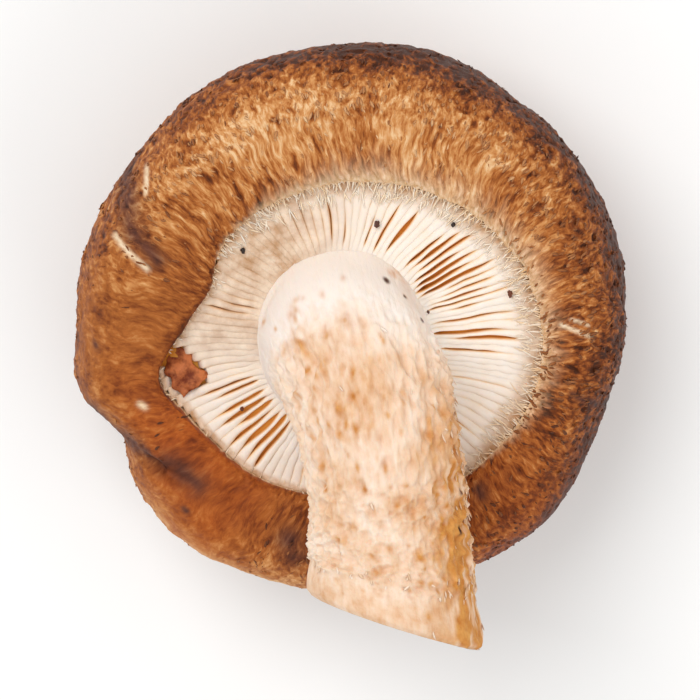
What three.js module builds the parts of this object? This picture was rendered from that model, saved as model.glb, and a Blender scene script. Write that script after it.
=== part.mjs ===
// A fresh shiitake mushroom, picked and trimmed, lying on the dome of its cap with the gills up.
// Units are millimetres and +Z is up. The thick stem bends over towards -Y, across the margin.
//
// Each piece is shaped in the cap's own frame: the cap's axis is Z, z = 0 is the crest of the
// rolled margin, and the dome hangs below it. The whole mushroom is then leaned and lifted to
// lie as it settles by itself, with the middle of its box above the origin.

import * as THREE from 'three';

const DEGREE = Math.PI / 180;
const GAP = 0.3; // between two pieces that meet

// The cap
const CAP_RADIUS = 31.9; // across X
const CAP_STRETCH = 1.02; // the cap is a little longer along Y
const DOME_TOP = -28; // the top of the dome, which is lowest as the mushroom lies
const WIDEST = -9; // height of the widest ring
const DOME_POWER = 1.2; // above 1 the dome is rounder at its top and straighter down its sides
const CREST_RADIUS = 26.4; // where the rolled margin stands highest
const DOME_RINGS = 15;
const ROLL_RINGS = 7;
const LIP_RINGS = 4;
const CAP_SIDES = 72;

// Where the outline leaves its round: [angle, outwards, half width]
const OUTLINE_BUMPS = [
  [206 * DEGREE, -1.7, 7.5 * DEGREE], // a narrow fold in the margin
  [193 * DEGREE, 0.9, 7 * DEGREE],
  [230 * DEGREE, 0.5, 16 * DEGREE],
  [315 * DEGREE, 0.4, 8 * DEGREE],
  [338 * DEGREE, -0.8, 13 * DEGREE],
];

// The oval hollow under the cap, which holds the gills and reaches furthest towards the fold
const HOLLOW_HALF_LENGTH = 20.7; // along X
const HOLLOW_HALF_WIDTH = 19.2; // along Y
const HOLLOW_CENTRE = new THREE.Vector2(1.2, -1);
const HOLLOW_BUMPS = [
  [190 * DEGREE, 3, 11 * DEGREE],
  [207 * DEGREE, 1.1, 14 * DEGREE],
  [232 * DEGREE, 0.6, 14 * DEGREE],
  [158 * DEGREE, -1.6, 12 * DEGREE],
];
const HOLLOW_MOUTH = -2.5;
const HOLLOW_FLOOR = -7;
const GILL_COUNT = 108;
const GILL_EDGE = -2.7; // height of the gills' sharp edges
const GILL_VALLEY = -5.2; // height of the flesh between two gills

// The stem: straight out of the flesh, over a round bend, then straight to the slanted cut
const STEM_ROOT = new THREE.Vector2(-0.4, -1);
const ROOT_RADIUS = 10.7;
const SHAFT_RADIUS = 8.9;
const CUT_RADIUS = 9.6;
const ROOT_RISE = 4;
const BEND_RADIUS = 13.5;
const BEND_ANGLE = 84 * DEGREE;
const SHAFT_LENGTH = 17.5;
const STEM_HEADING = -86 * DEGREE; // the way the bent stem points, seen from above
const SIDE_STEP = 3.8; // the bend also carries the stem this far towards +X
const CUT_SLANT_ACROSS = Math.tan(22 * DEGREE); // the +X side is left longer
const CUT_SLANT_UP = Math.tan(-7 * DEGREE); // and the lower side too
const CUT_REACH = 14; // the slant fades out over this length of the shaft
const STEM_RINGS = 20;
const STEM_SIDES = 36;

// How the mushroom lies: it leans until its weight is above the spot it rests on
const LEAN_TO_STEM = 3.7 * DEGREE; // towards -Y
const LEAN_ASIDE = 1 * DEGREE; // towards +X
const PRESSED_FLAT = 0.25; // its own weight flattens the dome this much

const SKIN_BROWN = 0xa8713f;
const GILL_CREAM = 0xece0cf;
const STEM_CREAM = 0xeedfc8;

const { clamp, lerp, smoothstep } = THREE.MathUtils;

const bell = (angle, middle, halfWidth) => {
  const away = Math.atan2(Math.sin(angle - middle), Math.cos(angle - middle));
  return Math.exp(-((away / halfWidth) ** 2));
};

const bumps = (angle, list) => list.reduce(
  (sum, [middle, outwards, halfWidth]) => sum + outwards * bell(angle, middle, halfWidth), 0);

// A point of the hollow's oval edge, pulled in by inset
function hollowEdge(angle, inset) {
  const bump = bumps(angle, HOLLOW_BUMPS) - inset;
  return [
    HOLLOW_CENTRE.x + (HOLLOW_HALF_LENGTH + bump) * Math.cos(angle),
    HOLLOW_CENTRE.y + (HOLLOW_HALF_WIDTH + bump) * Math.sin(angle),
  ];
}

// A point of the cap's outline, or of a ring inside it with the same shape
function outlinePoint(angle, radius) {
  const share = radius / CAP_RADIUS;
  const reach = CAP_RADIUS + bumps(angle, OUTLINE_BUMPS);
  return [share * reach * Math.cos(angle), share * reach * CAP_STRETCH * Math.sin(angle)];
}

// Turns a profile of [radius, height] points about Z and moves each point by place(point)
function turned(profile, sides, place) {
  const section = profile.map(([radius, height]) => new THREE.Vector2(radius, height));
  const geometry = new THREE.LatheGeometry(section, sides).rotateX(Math.PI / 2);
  const points = geometry.attributes.position;
  const point = new THREE.Vector3();
  for (let i = 0; i < points.count; i++) {
    place(point.fromBufferAttribute(points, i));
    points.setXYZ(i, point.x, point.y, point.z);
  }
  geometry.computeVertexNormals();
  return geometry;
}

// Calls add(share) for each of the equal steps from just after 0 up to 1
function steps(count, add) {
  for (let i = 1; i <= count; i++) add(i / count);
}

function capProfile() {
  const profile = [[0, DOME_TOP]];
  steps(DOME_RINGS, (share) => {
    const turn = share * Math.PI / 2;
    profile.push([CAP_RADIUS * Math.sin(turn), lerp(WIDEST, DOME_TOP, Math.cos(turn) ** DOME_POWER)]);
  });
  steps(ROLL_RINGS, (share) => {
    const turn = share * Math.PI / 2;
    profile.push([lerp(CREST_RADIUS, CAP_RADIUS, Math.cos(turn)), WIDEST * (1 - Math.sin(turn))]);
  });
  steps(LIP_RINGS, (share) => {
    const turn = share * Math.PI / 2;
    const inwards = lerp(CREST_RADIUS, HOLLOW_HALF_LENGTH, Math.sin(turn));
    profile.push([inwards, HOLLOW_MOUTH * (1 - Math.cos(turn))]);
  });
  profile.push([HOLLOW_HALF_LENGTH, HOLLOW_FLOOR]);
  profile.push([HOLLOW_HALF_LENGTH / 2, HOLLOW_FLOOR]);
  profile.push([0, HOLLOW_FLOOR]);
  return profile;
}

// Straight up from the floor, seen in the cap's own frame
const LEAN = new THREE.Euler(LEAN_TO_STEM, LEAN_ASIDE, 0);
const UP = new THREE.Vector3(0, 0, 1)
  .applyQuaternion(new THREE.Quaternion().setFromEuler(LEAN).invert());

function capGeometry() {
  const geometry = turned(capProfile(), CAP_SIDES, (point) => {
    const radius = Math.hypot(point.x, point.y);
    const angle = Math.atan2(point.y, point.x);
    const onMargin = outlinePoint(angle, radius);
    const inHollow = point.z > WIDEST && radius < CREST_RADIUS;
    const outwards = inHollow ? smoothstep(radius, HOLLOW_HALF_LENGTH, CREST_RADIUS) : 1;
    const edge = hollowEdge(angle, 0);
    const inwards = Math.min(radius / HOLLOW_HALF_LENGTH, 1);
    point.x = lerp(lerp(HOLLOW_CENTRE.x, edge[0], inwards), onMargin[0], outwards);
    point.y = lerp(lerp(HOLLOW_CENTRE.y, edge[1], inwards), onMargin[1], outwards);
  });
  pressFlat(geometry);
  return geometry;
}

// Flattens the dome where it lies on the floor
function pressFlat(geometry) {
  const points = geometry.attributes.position;
  const point = new THREE.Vector3();
  const heights = [];
  for (let i = 0; i < points.count; i++) heights.push(point.fromBufferAttribute(points, i).dot(UP));
  const floor = Math.min(...heights) + PRESSED_FLAT;
  heights.forEach((height, i) => {
    if (height >= floor) return;
    point.fromBufferAttribute(points, i).addScaledVector(UP, floor - height);
    points.setXYZ(i, point.x, point.y, point.z);
  });
}

// The gills as one ring: every other side of it is a gill's edge, the next the valley beside it
function gillGeometry() {
  const inner = ROOT_RADIUS + GAP;
  const outer = HOLLOW_HALF_LENGTH - GAP;
  const floor = HOLLOW_FLOOR + GAP;
  const profile = [
    [inner, floor], [outer, floor], [outer, GILL_EDGE - 0.8], [outer - 1.5, GILL_EDGE],
    [inner + 2, GILL_EDGE], [inner, GILL_EDGE - 0.4], [inner, floor],
  ];
  const sideAngle = Math.PI / GILL_COUNT;
  return turned(profile, 2 * GILL_COUNT, (point) => {
    const angle = Math.atan2(point.y, point.x);
    const across = (Math.hypot(point.x, point.y) - inner) / (outer - inner);
    const inValley = Math.round(angle / sideAngle) % 2 !== 0;
    if (inValley && point.z > floor + GAP) point.z = GILL_VALLEY;
    const atStem = [
      STEM_ROOT.x + inner * Math.cos(angle),
      STEM_ROOT.y + inner * Math.sin(angle),
    ];
    const atMargin = hollowEdge(angle, GAP);
    point.x = lerp(atStem[0], atMargin[0], across);
    point.y = lerp(atStem[1], atMargin[1], across);
  });
}

const BEND_END = ROOT_RISE + BEND_RADIUS * BEND_ANGLE;
const STEM_LENGTH = BEND_END + SHAFT_LENGTH;

function stemRadius(along) {
  const shaft = lerp(ROOT_RADIUS, SHAFT_RADIUS, smoothstep(along, 0, BEND_END));
  return lerp(shaft, CUT_RADIUS, smoothstep(along, BEND_END, STEM_LENGTH));
}

// Moves a point of the straight stem, whose axis is Z, on to the bent one
function bendStem(point) {
  const nearCut = smoothstep(point.z, STEM_LENGTH - CUT_REACH, STEM_LENGTH);
  const along = point.z + nearCut * (CUT_SLANT_ACROSS * point.x + CUT_SLANT_UP * point.y);
  const turn = BEND_ANGLE * clamp((along - ROOT_RISE) / (BEND_END - ROOT_RISE), 0, 1);
  const straight = Math.min(along, ROOT_RISE);
  const onShaft = Math.max(along - BEND_END, 0);
  const forward = BEND_RADIUS * (1 - Math.cos(turn)) + onShaft * Math.sin(turn);
  const upward = straight + BEND_RADIUS * Math.sin(turn) + onShaft * Math.cos(turn);
  const ahead = forward - point.y * Math.cos(turn);
  const height = upward + point.y * Math.sin(turn);
  const heading = [Math.cos(STEM_HEADING), Math.sin(STEM_HEADING)];
  const aside = point.x + SIDE_STEP * smoothstep(along, ROOT_RISE, BEND_END);
  point.x = STEM_ROOT.x + ahead * heading[0] - aside * heading[1];
  point.y = STEM_ROOT.y + ahead * heading[1] + aside * heading[0];
  point.z = HOLLOW_FLOOR + GAP + height;
}

function stemGeometry() {
  const profile = [[0, 0], [ROOT_RADIUS, 0]];
  steps(STEM_RINGS, (share) => {
    profile.push([stemRadius(share * STEM_LENGTH), share * STEM_LENGTH]);
  });
  profile.push([CUT_RADIUS / 2, STEM_LENGTH]);
  profile.push([0, STEM_LENGTH]);
  return turned(profile, STEM_SIDES, bendStem);
}

function piece(name, geometry, color, roughness) {
  const material = new THREE.MeshStandardMaterial({ color, roughness, metalness: 0 });
  const mesh = new THREE.Mesh(geometry, material);
  mesh.name = name;
  return mesh;
}

const mushroom = new THREE.Group();
mushroom.add(piece('cap', capGeometry(), SKIN_BROWN, 0.6));
mushroom.add(piece('gills', gillGeometry(), GILL_CREAM, 0.75));
mushroom.add(piece('stem', stemGeometry(), STEM_CREAM, 0.8));
mushroom.rotation.copy(LEAN);

// Stands the mushroom on the floor, with the middle of its box above the origin
mushroom.updateMatrixWorld(true);
const box = new THREE.Box3().setFromObject(mushroom, true);
const middle = box.getCenter(new THREE.Vector3());
mushroom.position.set(-middle.x, -middle.y, -box.min.z);

const part = new THREE.Group();
part.add(mushroom);

export default part;
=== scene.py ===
# A fresh shiitake mushroom lying on its cap with the gills up and its thick stem bent over.
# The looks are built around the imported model: cap skin, scales, gills, veil threads and stem.
# Shapes are worked out in millimetres in the cap's own frame (its axis is Z, z = 0 is the crest
# of the rolled margin, the dome hangs below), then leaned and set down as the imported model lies.

import math

import bpy
import numpy as np
from mathutils import Matrix, Vector


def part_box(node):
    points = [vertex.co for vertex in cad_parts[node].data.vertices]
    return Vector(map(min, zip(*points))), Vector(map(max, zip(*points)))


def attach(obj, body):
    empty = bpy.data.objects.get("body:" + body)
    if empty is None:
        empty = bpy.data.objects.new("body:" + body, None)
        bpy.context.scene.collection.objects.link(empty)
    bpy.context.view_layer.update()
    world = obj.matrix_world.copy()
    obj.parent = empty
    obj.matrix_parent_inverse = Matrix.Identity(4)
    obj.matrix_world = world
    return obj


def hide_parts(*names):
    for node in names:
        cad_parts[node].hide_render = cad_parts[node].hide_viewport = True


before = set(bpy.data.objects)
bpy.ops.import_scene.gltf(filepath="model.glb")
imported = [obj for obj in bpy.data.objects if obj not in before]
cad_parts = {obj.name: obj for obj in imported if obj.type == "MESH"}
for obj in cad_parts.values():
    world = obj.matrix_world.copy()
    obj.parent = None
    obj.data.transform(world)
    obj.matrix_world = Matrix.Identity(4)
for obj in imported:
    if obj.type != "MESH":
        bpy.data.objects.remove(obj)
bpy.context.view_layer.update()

MM = 0.001
RANDOM_SEED = 5

# The cap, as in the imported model
CAP_RADIUS = 31.9
CAP_STRETCH = 1.02
DOME_TOP = -28.0
DOME_POWER = 1.2
WIDEST = -9.0
CREST_RADIUS = 26.4
OUTLINE_BUMPS = [(206, -1.7, 7.5), (193, 0.9, 7), (230, 0.5, 16), (315, 0.4, 8), (338, -0.8, 13)]

# The hollow that holds the gills
HOLLOW_LENGTH, HOLLOW_WIDTH = 20.7, 19.2
HOLLOW_CENTRE = (1.2, -1.0)
HOLLOW_BUMPS = [(190, 3, 11), (207, 1.1, 14), (232, 0.6, 14), (158, -1.6, 12)]
HOLLOW_MOUTH = -2.5
HOLLOW_FLOOR = -7.0
GAP = 0.3
GILL_EDGE = -2.7

# The stem
STEM_ROOT = (-0.4, -1.0)
ROOT_RADIUS, SHAFT_RADIUS, CUT_RADIUS = 10.7, 8.9, 9.6
ROOT_RISE = 4.0
BEND_RADIUS = 13.5
BEND_ANGLE = math.radians(84)
SHAFT_LENGTH = 17.5
STEM_HEADING = math.radians(-86)
SIDE_STEP = 3.8
CUT_SLANT_ACROSS = math.tan(math.radians(22))
CUT_SLANT_UP = math.tan(math.radians(-7))
CUT_REACH = 14.0
BEND_END = ROOT_RISE + BEND_RADIUS * BEND_ANGLE
STEM_LENGTH = BEND_END + SHAFT_LENGTH

# How it lies
LEAN = Matrix.Rotation(math.radians(3.7), 3, "X") @ Matrix.Rotation(math.radians(1), 3, "Y")


# ---------------------------------------------------------------- small tools

def lerp(a, b, share):
    return a + (b - a) * share


def smooth(value, low, high):
    """0 below low, 1 above high, and a soft step between."""
    share = np.clip((np.asarray(value, float) - low) / (high - low), 0, 1)
    return share * share * (3 - 2 * share)


def turned_from(angle, middle):
    """How far round one angle is from another, from -180 to 180 degrees."""
    return (np.asarray(angle) - middle + 180) % 360 - 180


def bell(angle, middle, half_width):
    """1 at an angle, in degrees, and fading to 0 both ways round."""
    return np.exp(-((turned_from(angle, middle) / half_width) ** 2))


def unit(vectors):
    return vectors / np.linalg.norm(vectors, axis=-1, keepdims=True)


def swung(heading, aside, turn):
    """Directions turned towards another one, each by its own angle."""
    return heading * np.cos(turn)[:, None] + aside * np.sin(turn)[:, None]


def bumps(angle, places):
    return sum(outwards * bell(angle, middle, half_width) for middle, outwards, half_width in places)


lattice = np.random.default_rng(RANDOM_SEED)
SLOPES = lattice.normal(size=(1024, 3))
SLOPES /= np.linalg.norm(SLOPES, axis=1, keepdims=True)
ORDER = lattice.permutation(1024)


def noise(points, size, seed=0):
    """Smooth noise from about -1 to 1, with lumps `size` across; size may differ by axis."""
    spot = np.asarray(points) / size + (seed * 31.7, seed * 12.9, seed * 57.3)
    cell = np.floor(spot).astype(int)
    part = spot - cell
    fade = part**3 * (part * (part * 6 - 15) + 10)
    total = np.zeros(spot.shape[:-1])
    for corner in np.ndindex(2, 2, 2):
        x, y, z = np.moveaxis(cell + corner, -1, 0)
        slope = SLOPES[ORDER[(x + ORDER[(y + ORDER[z % 1024]) % 1024]) % 1024]]
        weight = np.prod(np.where(corner, fade, 1 - fade), axis=-1)
        total += weight * np.sum(slope * (part - corner), axis=-1)
    return 1.7 * total


def rough(points, size, octaves, seed=0):
    """Noise with finer noise on it, each layer half the size and half as strong."""
    size = np.asarray(size, float)
    return sum(noise(points, size / 2**i, seed + i) / 2**i for i in range(octaves))


def streak(points, start, end, width):
    """1 on the straight line between two places seen from above, fading over the width."""
    start, end = np.array(start), np.array(end)
    across = points[..., :2] - start
    line = end - start
    share = np.clip(across @ line / (line @ line), 0, 1)
    away = np.linalg.norm(across - share[..., None] * line, axis=-1)
    return np.exp(-((away / width) ** 2))


def normals_of(grid):
    """Outward normals of a grid of points whose second axis runs round the piece."""
    along = np.gradient(grid, axis=0)
    round_it = np.roll(grid, -1, axis=1) - np.roll(grid, 1, axis=1)
    normal = np.cross(round_it, along)
    return normal / np.maximum(np.linalg.norm(normal, axis=-1, keepdims=True), 1e-9)


def resample(profile, counts):
    """Even steps along each stretch of a profile: a list of arrays of points, one per stretch."""
    rows = []
    for stretch, count in zip(profile, counts):
        steps = np.linalg.norm(np.diff(stretch, axis=0), axis=1)
        way = np.concatenate([[0], np.cumsum(steps)])
        wanted = np.linspace(0, way[-1], count, endpoint=False)
        rows.append(np.column_stack([np.interp(wanted, way, stretch[:, i]) for i in range(2)]))
    rows.append(profile[-1][-1:])
    return np.concatenate(rows)


# ---------------------------------------------------------------- the mushroom's form

def outline_point(angle, radius):
    """The cap's outline at CAP_RADIUS, or a ring of the same shape inside it."""
    reach = radius / CAP_RADIUS * (CAP_RADIUS + bumps(angle, OUTLINE_BUMPS))
    turn = np.radians(angle)
    return np.stack([reach * np.cos(turn), reach * CAP_STRETCH * np.sin(turn)], axis=-1)


def hollow_edge(angle, inset=0.0):
    bump = bumps(angle, HOLLOW_BUMPS) - inset
    turn = np.radians(angle)
    return np.stack([
        HOLLOW_CENTRE[0] + (HOLLOW_LENGTH + bump) * np.cos(turn),
        HOLLOW_CENTRE[1] + (HOLLOW_WIDTH + bump) * np.sin(turn),
    ], axis=-1)


def root_circle(angle, radius):
    turn = np.radians(angle)
    return np.stack([
        STEM_ROOT[0] + radius * np.cos(turn),
        STEM_ROOT[1] + radius * np.sin(turn),
    ], axis=-1)


def bend_stem(aside, back, along):
    """Puts points of a straight stem, whose axis is Z and whose back is +Y, on the bent one."""
    near_cut = smooth(along, STEM_LENGTH - CUT_REACH, STEM_LENGTH)
    along = along + near_cut * (CUT_SLANT_ACROSS * aside + CUT_SLANT_UP * back)
    turn = BEND_ANGLE * np.clip((along - ROOT_RISE) / (BEND_END - ROOT_RISE), 0, 1)
    shaft = np.maximum(along - BEND_END, 0)
    forward = BEND_RADIUS * (1 - np.cos(turn)) + shaft * np.sin(turn) - back * np.cos(turn)
    height = np.minimum(along, ROOT_RISE) + BEND_RADIUS * np.sin(turn) + shaft * np.cos(turn)
    height = height + back * np.sin(turn)
    aside = aside + SIDE_STEP * smooth(along, ROOT_RISE, BEND_END)
    ahead = (math.cos(STEM_HEADING), math.sin(STEM_HEADING))
    return np.stack([
        STEM_ROOT[0] + forward * ahead[0] - aside * ahead[1],
        STEM_ROOT[1] + forward * ahead[1] + aside * ahead[0],
        HOLLOW_FLOOR + GAP + height,
    ], axis=-1)


def leaned(points):
    return points @ np.array(LEAN).T


def settled_place():
    """How far the leaned mushroom is moved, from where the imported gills' lowest corner is."""
    angles = np.arange(0, 360, 1.0)
    ring = hollow_edge(angles, GAP)
    ends = [np.column_stack([ring, np.full(len(ring), z)]) for z in (HOLLOW_FLOOR + GAP, GILL_EDGE - 0.8)]
    return np.array(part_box("gills")[0]) / MM - leaned(np.concatenate(ends)).min(axis=0)


PLACE = settled_place()


def set_down(points):
    """From millimetres in the cap's frame to metres where the mushroom lies."""
    return (leaned(points) + PLACE) * MM


# ---------------------------------------------------------------- making pieces

def grid_faces(rows, sides, first=0):
    """Quads of a closed tube of rings, as rows of corner numbers."""
    row, side = np.meshgrid(np.arange(rows - 1), np.arange(sides), indexing="ij")
    after = (side + 1) % sides
    corners = [row * sides + side, row * sides + after, (row + 1) * sides + after, (row + 1) * sides + side]
    return first + np.stack(corners, axis=-1).reshape(-1, 4)


def tube(grid):
    """Points and faces of a tube of rings, closed at each end by a fan round a middle point."""
    rows, sides, _ = grid.shape
    points = np.concatenate([grid.reshape(-1, 3), grid[0].mean(axis=0)[None], grid[-1].mean(axis=0)[None]])
    faces = grid_faces(rows, sides).tolist()
    last = (rows - 1) * sides
    for side in range(sides):
        after = (side + 1) % sides
        faces.append([rows * sides, after, side])
        faces.append([rows * sides + 1, last + side, last + after])
    return points, faces


def with_ends(field):
    """A field on a tube's grid, with the values of its two middle points added."""
    flat = field.reshape(-1, *field.shape[2:])
    return np.concatenate([flat, field[0].mean(axis=0)[None], field[-1].mean(axis=0)[None]])


def joined(tubes):
    """Several tubes as the points and faces of one mesh."""
    points, faces, first = [], [], 0
    for own_points, own_faces in tubes:
        points.append(own_points)
        faces.extend([corner + first for corner in face] for face in own_faces)
        first += len(own_points)
    return np.concatenate(points), faces


def even_marks(count, **values):
    """Marks that are the same on every point of a piece."""
    return {name: np.full(count, float(value)) for name, value in values.items()}


def make_piece(name, points, faces, material, node, marks=None, grain=None):
    """A mesh in its place, with its masks and grain directions stored on its points."""
    mesh = bpy.data.meshes.new(name)
    mesh.from_pydata(set_down(points).tolist(), [], faces)
    mesh.shade_smooth()
    for mark, values in (marks or {}).items():
        layer = mesh.attributes.new(mark, "FLOAT", "POINT")
        layer.data.foreach_set("value", np.asarray(values, np.float32).ravel())
    if grain is not None:
        layer = mesh.attributes.new("grain", "FLOAT_VECTOR", "POINT")
        layer.data.foreach_set("vector", np.asarray(grain, np.float32).ravel())
    mesh.materials.append(material)
    piece = bpy.data.objects.new(name, mesh)
    bpy.context.scene.collection.objects.link(piece)
    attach(piece, "root")
    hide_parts(node)
    return piece


# ---------------------------------------------------------------- materials

def colour(code):
    """An sRGB hex code as linear light."""
    parts = [int(code[i:i + 2], 16) / 255 for i in (1, 3, 5)]
    return (*[c / 12.92 if c <= 0.04045 else ((c + 0.055) / 1.055) ** 2.4 for c in parts], 1.0)


def add(tree, kind, inputs=None, stops=None, **settings):
    """Adds a node with its settings, its inputs (values or sockets) and a ramp's stops."""
    node = tree.nodes.new(kind)
    for name, value in settings.items():
        setattr(node, name, value)
    for name, value in (inputs or {}).items():
        socket = node.inputs[name]
        if isinstance(value, bpy.types.NodeSocket):
            tree.links.new(value, socket)
        else:
            socket.default_value = value
    if stops:
        ramp = node.color_ramp
        while len(ramp.elements) < len(stops):
            ramp.elements.new(0.5)
        for element, (place, code) in zip(ramp.elements, stops):
            element.position = place
            element.color = colour(code)
    return node


def new_material(name):
    material = bpy.data.materials.new(name)
    material.use_nodes = True
    tree = material.node_tree
    tree.nodes.clear()
    return material, tree


def shaded_by_thread(name, stops, surface):
    """A material that takes its colour from the shade stored on each thread or crumb."""
    material, tree = new_material(name)
    shade = add(tree, "ShaderNodeAttribute", attribute_name="shade").outputs["Fac"]
    ramp = add(tree, "ShaderNodeValToRGB", {"Fac": shade}, stops=stops)
    shader = add(tree, "ShaderNodeBsdfPrincipled", {"Base Color": ramp.outputs["Color"], **surface})
    add(tree, "ShaderNodeOutputMaterial", {"Surface": shader.outputs["BSDF"]})
    return material


MIX_A, MIX_B, MIX_RESULT = 6, 7, 2  # the colour sockets of a Mix node


def dry_cap_skin():
    """Shiitake cap skin: dry, felted brown threads over pale flesh, so it looks matt and hairy.
    Real threads are far finer: they are drawn 0.5 mm wide so that they show."""
    material, tree = new_material("dry_fibrous_cap_skin")
    grain = add(tree, "ShaderNodeAttribute", attribute_name="grain").outputs["Vector"]
    thread_place = add(tree, "ShaderNodeMapping", {
        "Vector": grain, "Scale": (1 / 0.5, 1 / 0.5, 1 / 0.95)})
    threads = add(tree, "ShaderNodeTexNoise", {
        "Vector": thread_place.outputs["Vector"], "Scale": 1.0, "Detail": 4.0,
        "Roughness": 0.62, "Distortion": 0.35}).outputs["Fac"]
    blotches = add(tree, "ShaderNodeTexNoise", {
        "Vector": grain, "Scale": 1 / 2.6, "Detail": 5.0, "Roughness": 0.62}).outputs["Fac"]
    mark = {name: add(tree, "ShaderNodeAttribute", attribute_name=name).outputs["Fac"]
            for name in ("tone", "relief", "bruise_and_fold_shade", "glow", "flesh", "wool", "bare")}
    # how light the skin is: its own tone, its raised threads, its blotches and its relief, which paints
    # shade in the pits and lightens the raised fur
    shade = add(tree, "ShaderNodeMath", {0: threads, 1: 1.5, 2: -0.75}, operation="MULTIPLY_ADD")
    calmer = add(tree, "ShaderNodeMath", {0: mark["bare"], 1: -0.6, 2: 1.0}, operation="MULTIPLY_ADD")
    shade = add(tree, "ShaderNodeMath", {0: shade.outputs[0], 1: calmer.outputs[0]}, operation="MULTIPLY")
    for pattern, weight in ((blotches, 0.9), (mark["relief"], 0.26), (mark["tone"], 0.75)):
        shade = add(tree, "ShaderNodeMath", {0: pattern, 1: weight, 2: shade.outputs[0]},
                    operation="MULTIPLY_ADD")
    shade = add(tree, "ShaderNodeMath", {0: shade.outputs[0], 1: -0.15}, operation="ADD")
    skin = add(tree, "ShaderNodeValToRGB", {"Fac": shade.outputs[0]}, stops=[
        (0.10, "#441e08"), (0.32, "#7a3b12"), (0.55, "#ab632a"), (0.78, "#d09257"), (1.0, "#e9c090")])
    glowing = add(tree, "ShaderNodeValToRGB", {"Fac": shade.outputs[0]}, stops=[
        (0.1, "#702a06"), (0.5, "#ab5217"), (0.9, "#cc7c38")])
    # purplish brown for bruises, which also paints the shade in the fold's crease
    bruised_and_fold_shaded = add(tree, "ShaderNodeValToRGB", {"Fac": shade.outputs[0]}, stops=[
        (0.1, "#331a14"), (0.6, "#65392a"), (1.0, "#8c5f48")])
    woolly = add(tree, "ShaderNodeValToRGB", {"Fac": threads}, stops=[
        (0.25, "#d09d62"), (0.5, "#ebcba2"), (0.7, "#f8e4cb")])
    fleshy = add(tree, "ShaderNodeValToRGB", {"Fac": threads}, stops=[
        (0.2, "#d3a673"), (0.6, "#efd9ba")])
    base = skin.outputs["Color"]
    for layer, name in ((glowing, "glow"), (bruised_and_fold_shaded, "bruise_and_fold_shade"), (woolly, "wool"), (fleshy, "flesh")):
        base = add(tree, "ShaderNodeMix", {0: mark[name], MIX_A: base, MIX_B: layer.outputs["Color"]},
                   data_type="RGBA").outputs[MIX_RESULT]
    gloss = add(tree, "ShaderNodeMapRange", {"Value": shade.outputs[0], "To Min": 0.5, "To Max": 0.78})
    ridges = add(tree, "ShaderNodeBump", {"Height": threads, "Strength": 0.8, "Distance": 0.17 * MM})
    skin_shader = add(tree, "ShaderNodeBsdfPrincipled", {
        "Base Color": base, "Roughness": gloss.outputs["Result"], "Normal": ridges.outputs["Normal"],
        "IOR": 1.42, "Specular IOR Level": 0.22,
        "Sheen Weight": 0.03, "Sheen Roughness": 0.5,
        "Subsurface Weight": 0.06, "Subsurface Scale": 1.0 * MM, "Subsurface Radius": (1.0, 0.45, 0.25)})
    add(tree, "ShaderNodeOutputMaterial", {"Surface": skin_shader.outputs["BSDF"]})
    return material


def gill_tissue():
    """Gills: thin moist blades, cream at the edge and ochre deep down (their own tan, darkened as painted
    shade down the gaps); light passes into them.
    """
    material, tree = new_material("pale_gill_tissue")
    grain = add(tree, "ShaderNodeAttribute", attribute_name="grain").outputs["Vector"]
    stains = add(tree, "ShaderNodeTexNoise", {
        "Vector": grain, "Scale": 1 / 2.4, "Detail": 5.0, "Roughness": 0.65}).outputs["Fac"]
    fine = add(tree, "ShaderNodeTexNoise", {
        "Vector": grain, "Scale": 1 / 0.3, "Detail": 3.0}).outputs["Fac"]
    depth = add(tree, "ShaderNodeAttribute", attribute_name="depth").outputs["Fac"]
    stained = add(tree, "ShaderNodeAttribute", attribute_name="stained").outputs["Fac"]
    # the colour darkens to ochre further down between the blades: painted shade in the gaps
    deep = add(tree, "ShaderNodeMath", {0: stains, 1: 0.3, 2: depth}, operation="MULTIPLY_ADD")
    deep = add(tree, "ShaderNodeMath", {0: deep.outputs[0], 1: -0.13}, operation="ADD")
    blade = add(tree, "ShaderNodeValToRGB", {"Fac": deep.outputs[0]}, stops=[
        (0.0, "#f9efe5"), (0.12, "#f6e6d5"), (0.30, "#efc792"), (0.6, "#e5a04c"), (1.0, "#e0983f")])
    brown = add(tree, "ShaderNodeValToRGB", {"Fac": stains}, stops=[(0.42, "#742f13"), (0.6, "#c4713f")])
    veil = add(tree, "ShaderNodeValToRGB", {"Fac": stains}, stops=[(0.36, "#be9064"), (0.64, "#efd8c0")])
    veiled = add(tree, "ShaderNodeAttribute", attribute_name="veiled").outputs["Fac"]
    base = add(tree, "ShaderNodeMix", {0: veiled, MIX_A: blade.outputs["Color"],
                                       MIX_B: veil.outputs["Color"]}, data_type="RGBA")
    base = add(tree, "ShaderNodeMix", {0: stained, MIX_A: base.outputs[MIX_RESULT],
                                       MIX_B: brown.outputs["Color"]}, data_type="RGBA")
    dimples = add(tree, "ShaderNodeBump", {"Height": fine, "Strength": 0.35, "Distance": 0.08 * MM})
    shader = add(tree, "ShaderNodeBsdfPrincipled", {
        "Base Color": base.outputs[MIX_RESULT], "Normal": dimples.outputs["Normal"], "Roughness": 0.6,
        "IOR": 1.4, "Specular IOR Level": 0.35,
        "Subsurface Weight": 0.2, "Subsurface Scale": 0.4 * MM, "Subsurface Radius": (1.0, 0.7, 0.5)})
    add(tree, "ShaderNodeOutputMaterial", {"Surface": shader.outputs["BSDF"]})
    return material


def veil_thread():
    """Torn veil: cottony threads, cream to straw, matt with a faint soft edge. Real ones are
    far finer and are drawn 0.1 mm and wider so that they show."""
    stops = [(0.0, "#c98d4e"), (0.35, "#f0c48c"), (0.7, "#ffe6c4"), (1.0, "#fff4e4")]
    return shaded_by_thread("cottony_veil_thread", stops, {
        "Roughness": 0.85, "Specular IOR Level": 0.2, "Sheen Weight": 0.15, "Sheen Roughness": 0.4})


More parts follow.
